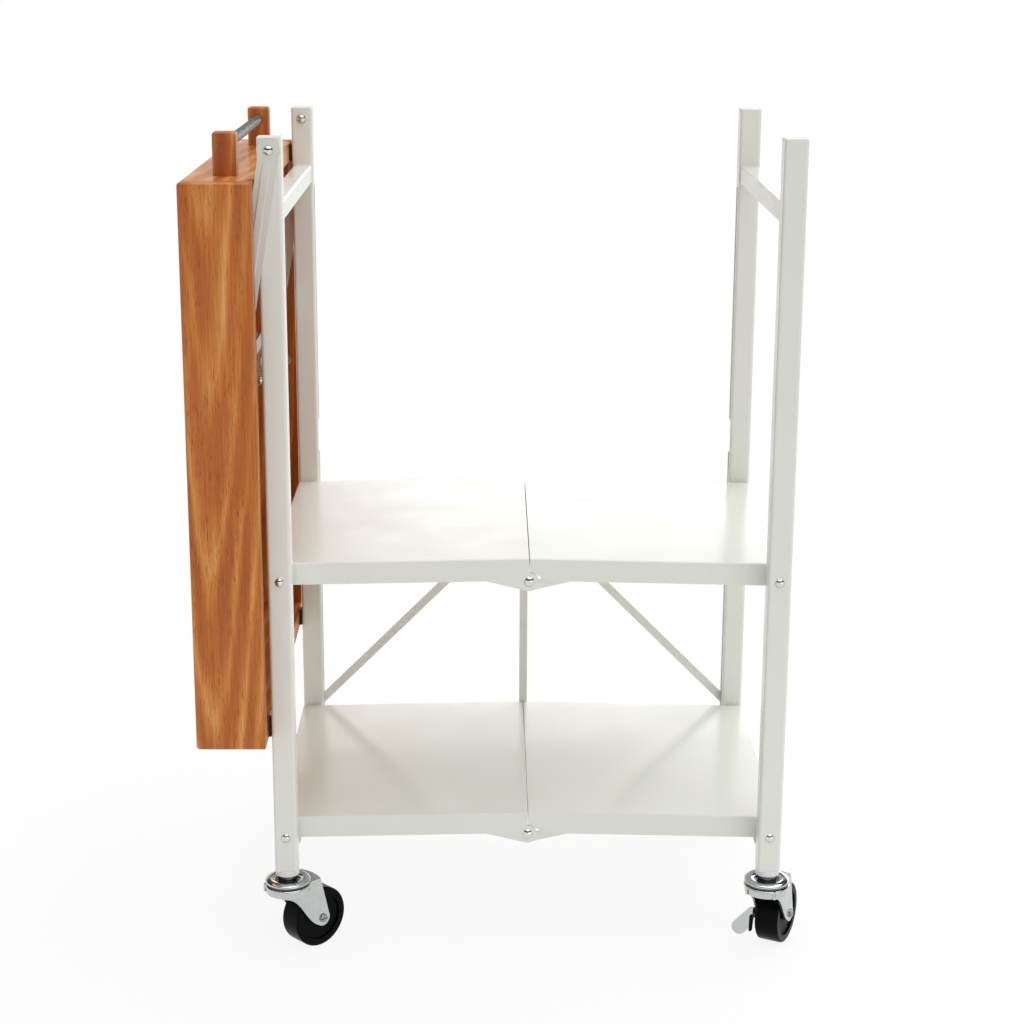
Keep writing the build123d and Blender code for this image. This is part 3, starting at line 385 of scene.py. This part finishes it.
class CART_PG_sizes(bpy.types.PropertyGroup):
    """Sizes of the steelwork's fine detail"""
    peel: length_property("Orange peel", "Size of the powder coat's orange peel", 1.5 * MM)
    corner: length_property("Tube corner", "Outer corner radius of the crossbars' square tube", 3.0 * MM)
    bead: length_property("Weld bead", "Radius of the weld beads at the crossbars", 1.2 * MM)
    ripple: length_property("Weld ripple", "Distance between a weld's ripples", 1.8 * MM)
    rim_width: length_property("Rim width", "Half the width of a raceway's rolled rim", 5.0 * MM)
    rim_height: length_property("Rim height", "Half the height of a raceway's rolled rim", 2.6 * MM)
    rim_level: length_property("Rim level", "Height of the raceways' rims above the floor", 80.7 * MM)
    roll_width: length_property("Crown roll width", "Half the width of a fork crown's rolled edge", 2.4 * MM)
    roll_height: length_property("Crown roll height", "Half the height of a crown's rolled edge", 2.0 * MM)
    roll_level: length_property("Crown roll level", "Height of the crowns' rolls above the floor", 75.3 * MM)


class CART_OT_steelwork(bpy.types.Operator):
    """Coat the posts, crossbars, shelves, braces and arms, and weld the crossbars to the posts"""
    bl_idname = "cart.steelwork"
    bl_label = "Coated steelwork"

    def execute(self, context):
        colours, sizes = context.scene.cart_colours, context.scene.cart_sizes
        coat = powder_coated_steel("Gloss_white_powder_coat", colours.coat, sizes.peel)
        finish_nodes(coat, "post_front", "post_rear", "crossbar", "upper_shelf", "lower_shelf", "centre_link",
                     "brace_left", "brace_right")
        # The arms get a greyer coat than the posts.
        thin = powder_coated_steel("Greyer_white_powder_coat_arms", colours.arm_coat, sizes.peel)
        finish_nodes(thin, "arm_front", "arm_rear")
        tree = weld_tree()
        for side in ("left", "right"):
            low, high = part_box(f"crossbar_{side}")
            x, z = (low.x + high.x) / 2, (low.z + high.z) / 2
            values = {"Side": high.x - low.x, "Corner": sizes.corner, "Bead": sizes.bead,
                      "Ripple": sizes.ripple, "Material": coat}
            grow(f"crossbar_welds_{side}", tree, [(x, low.y, z), (x, high.y, z)], values,
                 f"{side}_end_frame")
        return {"FINISHED"}


class CART_OT_plugs(bpy.types.Operator):
    """Finish the moulded caps, feet, spacers and bumpers"""
    bl_idname = "cart.plugs"
    bl_label = "Plugs, spacers and bumpers"

    def execute(self, context):
        colours = context.scene.cart_colours
        polythene = moulded("Moulded_white_polythene", colours.plug, rough=0.36, grain=1.0 * MM, specular=0.5)
        finish_nodes(polythene, "post_plugs")
        acetal = moulded("Turned_natural_acetal", colours.acetal, rough=0.4, grain=0.9 * MM, specular=0.5)
        finish_nodes(acetal, "screw_spacers")
        rubber = moulded("Black_moulded_rubber", colours.rubber, rough=0.55, grain=0.8 * MM, specular=0.3)
        finish_nodes(rubber, "rim_bumpers")
        return {"FINISHED"}


class CART_OT_worktop(bpy.types.Operator):
    """Finish the worktop's boards, glue its slab from staves and paint the towel bar"""
    bl_idname = "cart.worktop"
    bl_label = "Wooden worktop"

    def execute(self, context):
        look, colours = context.scene.cart_wood, context.scene.cart_colours
        upright, crosswise, edgewise = (0, 0, 0), (pi / 2, 0, 0), (0, 0, pi / 2)
        # Each board's grain, its middle's place in the tree, and how much paler it is than most
        boards = {"apron_front": (upright, (-0.001, 0.025, -0.049), 0.0),
                  # darker, partly its own tone and partly painted shade in the worktop's hollow
                  "apron_rear": (upright, (0.41, 0.02, 1.7), -0.08),
                  # paler, partly its own tone and partly painted light on its top face
                  "apron_towel_end": (crosswise, (0.02, 0.03, 0.9), 0.14),
                  "apron_far_end": (crosswise, (0.3, 0.02, 2.2), 0.0),
                  "towel_tabs": (upright, (0.71, 0.05, 3.1), -0.1)}
        for node, (turn, heart, paler) in boards.items():
            wood = lacquered_rubberwood("Rubberwood_" + node, look, turn, middle_of(node), heart, paler)
            finish_nodes(wood, node)
        low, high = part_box("worktop_slab")
        count = round((high.y - low.y) / look.stave_width)
        width = (high.y - low.y) / count
        # The staves are darker than the aprons, partly their own tone and partly painted shade in the
        # worktop's hollow.
        wood = lacquered_rubberwood("Rubberwood_staves", look, edgewise, middle_of("worktop_slab"),
                                    heart=(0.1, 0.03, 0.5), paler=-0.34, stave=True)
        values = {"Count": count, "Width": width, "Length": high.z - low.z, "Thickness": high.x - low.x,
                  "Ease": look.stave_ease, "Seed": 4, "Material": wood}
        corner = ((low.x + high.x) / 2, low.y + width / 2, low.z)
        slab = grow("slab_staves", stave_tree(), [corner], values, "worktop")
        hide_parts("worktop_slab")
        paint = moulded("Dark_grey_satin_paint", colours.bar_paint, rough=0.38, grain=1.0 * MM, specular=0.5)
        finish_nodes(paint, "towel_bar")
        return {"FINISHED"}


class CART_OT_fasteners(bpy.types.Operator):
    """Plate the screws, rivets, nuts and brackets"""
    bl_idname = "cart.fasteners"
    bl_label = "Screws, rivets and brackets"

    def execute(self, context):
        colours = context.scene.cart_colours
        nickel = bright_zinc_plate("Nickel_plated_steel", colours.nickel, rough=0.1)
        finish_nodes(nickel, "pivot_screws", "screw_nuts", "arm_screws", "upper_centre", "lower_centre",
                     "arm_tie", "brace_rivet", "bracket_screws")
        zinc = bright_zinc_plate("Zinc_plated_brackets", colours.zinc, rough=0.26)
        finish_nodes(zinc, "pivot_brackets", "pivot_studs")
        return {"FINISHED"}


def swivel_axes(side):
    """Where a side's two swivel axes meet the floor, and its raceways' radius, from the CAD."""
    low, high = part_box(f"caster_raceways_{side}")
    middle, radius = (low.x + high.x) / 2, (high.x - low.x) / 2
    reach = high.y - radius
    return {"front": Vector((middle, -reach, 0)), "rear": Vector((middle, reach, 0))}, radius


def black_lever_piece(name, place, heading, body, material):
    """A tapered black piece on a brake lever's end, beside the wheel and just outside the
    fork's leg. It is measured from the swivel axis along the heading and out from it, and up
    from the floor."""
    along, out = Vector((cos(heading), sin(heading), 0)), Vector((-sin(heading), cos(heading), 0))
    inner, outer = 16.1 * MM, 18.8 * MM
    top, top_near, top_far = 34.0 * MM, 3.5 * MM, 11.5 * MM
    foot, foot_near, foot_far = 17.0 * MM, 2.0 * MM, 7.0 * MM
    corners = [place + along * x + out * y + Vector((0, 0, z))
               for z, near, far in ((top, top_near, top_far), (foot, foot_near, foot_far))
               for x, y in ((near, inner), (far, inner), (far, outer), (near, outer))]
    faces = [(0, 1, 2, 3), (7, 6, 5, 4), (0, 4, 5, 1), (1, 5, 6, 2), (2, 6, 7, 3), (3, 7, 4, 0)]
    mesh = bpy.data.meshes.new(name)
    mesh.from_pydata(corners, [], faces)
    mesh.materials.append(material)
    shoe = bpy.data.objects.new(name, mesh)
    bpy.context.scene.collection.objects.link(shoe)
    bevel = shoe.modifiers.new("edges", "BEVEL")
    bevel.width, bevel.segments = 0.6 * MM, 3
    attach(shoe, body)


class CART_OT_casters(bpy.types.Operator):
    """Finish the casters' raceways, forks, axles, wheels and brake levers, and add their rolled
    edges and the black pieces on the brake levers"""
    bl_idname = "cart.casters"
    bl_label = "Casters and brakes"

    def execute(self, context):
        colours, sizes = context.scene.cart_colours, context.scene.cart_sizes
        # The raceways' zinc is darkened for painted shade and a painted dark reflection in their dishes.
        for name, colour, rough, nodes in (("Darkened_zinc_raceways_painted_reflection", colours.race, 0.16, "caster_raceways"),
                                           ("Zinc_plated_forks", colours.zinc, 0.24, "caster_fork"),
                                           ("Zinc_plated_levers", colours.zinc, 0.3, "brake_lever"),
                                           # The axles' darker zinc is a painted dark reflection on the axle
                                           # heads.
                                           ("Darkened_zinc_axles_painted_reflection", colours.axle, 0.22, "axle")):
            finish_nodes(bright_zinc_plate(name, colour, rough), nodes)
        tread = moulded("Black_polyolefin_tread", colours.wheel, rough=0.3, grain=0.6 * MM, specular=0.06)
        finish_nodes(tread, "tyre")
        hub = moulded("Black_polyolefin_hub", colours.wheel, rough=0.42, grain=0.9 * MM, specular=0.06)
        finish_nodes(hub, "wheel_hub")
        self.rolled_edges(colours, sizes)
        self.black_lever_pieces(colours)
        return {"FINISHED"}

    def rolled_edges(self, colours, sizes):
        """The bright rolled edges of the raceways and of the forks' crowns."""
        tree = rolled_ring_tree()
        bright = bright_zinc_plate("Bright_zinc_rims", colours.zinc, rough=0.12)
        lap, proud = 0.3 * MM, 0.8 * MM
        for side in ("left", "right"):
            axes, radius = swivel_axes(side)
            rim = {"Radius": radius - sizes.rim_width, "Half_width": sizes.rim_width + lap,
                   "Half_height": sizes.rim_height, "Material": bright}
            places = [(axis.x, axis.y, sizes.rim_level) for axis in axes.values()]
            grow(f"raceway_rims_{side}", tree, places, rim, f"{side}_end_frame")
            roll = {"Radius": radius + proud - sizes.roll_width, "Half_width": sizes.roll_width,
                    "Half_height": sizes.roll_height, "Material": bright}
            for end, axis in axes.items():
                grow(f"crown_roll_{end}_{side}", tree, [(axis.x, axis.y, sizes.roll_level)], roll,
                     f"{end}_{side}_fork")

    def black_lever_pieces(self, colours):
        """The black pieces on the two right-hand levers, turned with their casters' headings."""
        black_finish = moulded("Black_lever_pieces_finish", colours.wheel, rough=0.4, grain=0.8 * MM, specular=0.1)
        axes, _ = swivel_axes("right")
        for end, axis in axes.items():
            axle = middle_of(f"wheel_hub_{end}_right")
            heading = atan2(axle.y - axis.y, axle.x - axis.x)
            black_lever_piece(f"black_lever_piece_{end}_right", axis, heading, f"{end}_right_brake", black_finish)


def seen_rays(tree):
    """1 for the rays that show a background: from the camera, and from gloss and glass."""
    rays = add(tree, "ShaderNodeLightPath").outputs
    camera, gloss, glass = (rays[f"Is {kind} Ray"] for kind in ("Camera", "Glossy", "Transmission"))
    either = add(tree, "ShaderNodeMath", {0: camera, 1: gloss}, operation="MAXIMUM")
    return add(tree, "ShaderNodeMath", {0: either.outputs[0], 1: glass}, operation="MAXIMUM").outputs[0]


def plain_material(name):
    """A new material and its empty tree."""
    material = bpy.data.materials.new(name)
    material.use_nodes = True
    material.node_tree.nodes.clear()
    return material, material.node_tree


def stage_mesh(name, corners, faces, material):
    """A piece of the studio, which isn't part of the cart."""
    mesh = bpy.data.meshes.new(name)
    mesh.from_pydata(corners, [], faces)
    mesh.materials.append(material)
    piece = bpy.data.objects.new(name, mesh)
    bpy.context.scene.collection.objects.link(piece)
    return piece


class CART_OT_stage(bpy.types.Operator):
    """Make the floor, the lights, the background and the camera"""
    bl_idname = "cart.stage"
    bl_label = "Stage"

    def execute(self, context):
        scene = context.scene
        scene.view_settings.view_transform = "Standard"
        self.floor()
        self.dark_band()
        self.world(scene)
        self.lamps(scene)
        self.camera(scene)
        return {"FINISHED"}

    def floor(self):
        """A white paper floor. Where it is seen, most of it is plain white, so the cart's shadow
        is a faint one, and far from the cart it is white alone."""
        material, tree = plain_material("White_paper_floor")
        place = add(tree, "ShaderNodeTexCoord").outputs["Object"]
        away = add(tree, "ShaderNodeVectorMath", {0: place}, operation="LENGTH").outputs["Value"]
        paper = add(tree, "ShaderNodeBsdfDiffuse", {"Color": remap(tree, away, (0.9, 2.4), (0.95, 0.6))})
        white = add(tree, "ShaderNodeEmission", {"Color": (1, 1, 1, 1), "Strength": 1.0})
        plain = remap(tree, away, (0.5, 1.3), (0.88, 1.0))
        share = add(tree, "ShaderNodeMath", {0: seen_rays(tree), 1: plain}, operation="MULTIPLY")
        mix = add(tree, "ShaderNodeMixShader",
                  {0: share.outputs[0], 1: paper.outputs[0], 2: white.outputs[0]})
        add(tree, "ShaderNodeOutputMaterial", {"Surface": mix.outputs[0]})
        far = 60.0
        corners = [(-far, -far, 0), (far, -far, 0), (far, far, 0), (-far, far, 0)]
        stage_mesh("floor", corners, [(0, 1, 2, 3)], material)

    def dark_band(self):
        """The unlit upper walls of the studio all round, which only gloss shows."""
        material, tree = plain_material("Unlit_wall")
        wall = add(tree, "ShaderNodeEmission", {"Color": (0.05, 0.05, 0.05, 1), "Strength": 1.0})
        add(tree, "ShaderNodeOutputMaterial", {"Surface": wall.outputs[0]})
        reach, sides = 3.0, 48
        turns = [2 * pi * i / sides for i in range(sides)]
        heights = [reach * tan(radians(rise)) for rise in (24, 48)]
        corners = [(reach * cos(turn), reach * sin(turn), z) for z in heights for turn in turns]
        faces = [(i, (i + 1) % sides, sides + (i + 1) % sides, sides + i) for i in range(sides)]
        band = stage_mesh("unlit_walls", corners, faces, material)
        band.visible_camera = False
        band.visible_diffuse = False
        band.visible_transmission = False
        band.visible_shadow = False

    def world(self, scene):
        """A white room: white where it is seen, and a weaker even light for the rest."""
        world = bpy.data.worlds.new("White_studio")
        world.use_nodes = True
        scene.world = world
        tree = world.node_tree
        tree.nodes.clear()
        room = add(tree, "ShaderNodeBackground", {"Color": (1, 1, 1, 1), "Strength": 0.4})
        white = add(tree, "ShaderNodeBackground", {"Color": (1, 1, 1, 1), "Strength": 1.0})
        mix = add(tree, "ShaderNodeMixShader", {0: seen_rays(tree), 1: room.outputs[0], 2: white.outputs[0]})
        add(tree, "ShaderNodeOutputWorld", {"Surface": mix.outputs[0]})

    def lamps(self, scene):
        """Broad soft lights: from above, off the backdrop, and weaker from the front right."""
        for name, towards, strength, spread in (("ceiling", (0.2, 0.0, 1.0), 1.3, 70),
                                                ("backdrop", (0.35, 0.8, 0.5), 1.25, 60),
                                                ("front_right", (0.55, -0.8, 0.4), 0.47, 50)):
            data = bpy.data.lights.new(name, "SUN")
            data.energy = strength
            data.angle = radians(spread)
            lamp = bpy.data.objects.new(name, data)
            lamp.rotation_euler = Vector(towards).to_track_quat("Z", "Y").to_euler()
            scene.collection.objects.link(lamp)

    def camera(self, scene):
        """The photograph's camera, fitted to the cart: its place, across from the middle between
        the front posts, its turn in radians, and its focal length in the photograph's pixels."""
        middle = (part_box("post_front_left")[0].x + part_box("post_front_right")[1].x) / 2
        place = Vector((middle - 0.0409, -2.1781, 1.012))
        pitch, yaw, roll = 0.264223, 0.011516, 0.0048786
        focal_pixels, photo_pixels, film_width = 2115.53, 1024, 36
        ahead = Vector((sin(yaw) * cos(pitch), cos(yaw) * cos(pitch), -sin(pitch)))
        right = Vector((cos(yaw), -sin(yaw), 0))
        up = right.cross(ahead)
        across = right * cos(roll) + up * sin(roll)
        upward = up * cos(roll) - right * sin(roll)
        data = bpy.data.cameras.new("Camera")
        data.lens = focal_pixels * film_width / photo_pixels
        data.sensor_width = film_width
        camera = bpy.data.objects.new("Camera", data)
        scene.collection.objects.link(camera)
        turn = Matrix((across, upward, -ahead)).transposed().to_4x4()
        camera.matrix_world = Matrix.Translation(place) @ turn
        scene.camera = camera


OPERATORS = (CART_OT_steelwork, CART_OT_plugs, CART_OT_worktop, CART_OT_fasteners, CART_OT_casters,
             CART_OT_stage)
GROUPS = {"cart_colours": CART_PG_colours, "cart_wood": CART_PG_wood, "cart_sizes": CART_PG_sizes}


class CART_PT_panel(bpy.types.Panel):
    """The cart's pieces, sizes and colours"""
    bl_label = "Folding cart"
    bl_idname = "CART_PT_panel"
    bl_space_type = "VIEW_3D"
    bl_region_type = "UI"
    bl_category = "Cart"

    def draw(self, context):
        for each in OPERATORS:
            self.layout.operator(each.bl_idname)
        for name, group in GROUPS.items():
            box = self.layout.box()
            for setting in group.__annotations__:
                box.prop(getattr(context.scene, name), setting)


def register():
    for each in (*GROUPS.values(), *OPERATORS, CART_PT_panel):
        bpy.utils.register_class(each)
    for name, group in GROUPS.items():
        setattr(bpy.types.Scene, name, bpy.props.PointerProperty(type=group))


def unregister():
    for name in GROUPS:
        delattr(bpy.types.Scene, name)
    for each in (CART_PT_panel, *reversed(OPERATORS), *reversed(GROUPS.values())):
        bpy.utils.unregister_class(each)


def main():
    register()
    bpy.ops.cart.steelwork()
    bpy.ops.cart.plugs()
    bpy.ops.cart.worktop()
    bpy.ops.cart.fasteners()
    bpy.ops.cart.casters()
    bpy.ops.cart.stage()


if __name__ == "__main__":
    main()
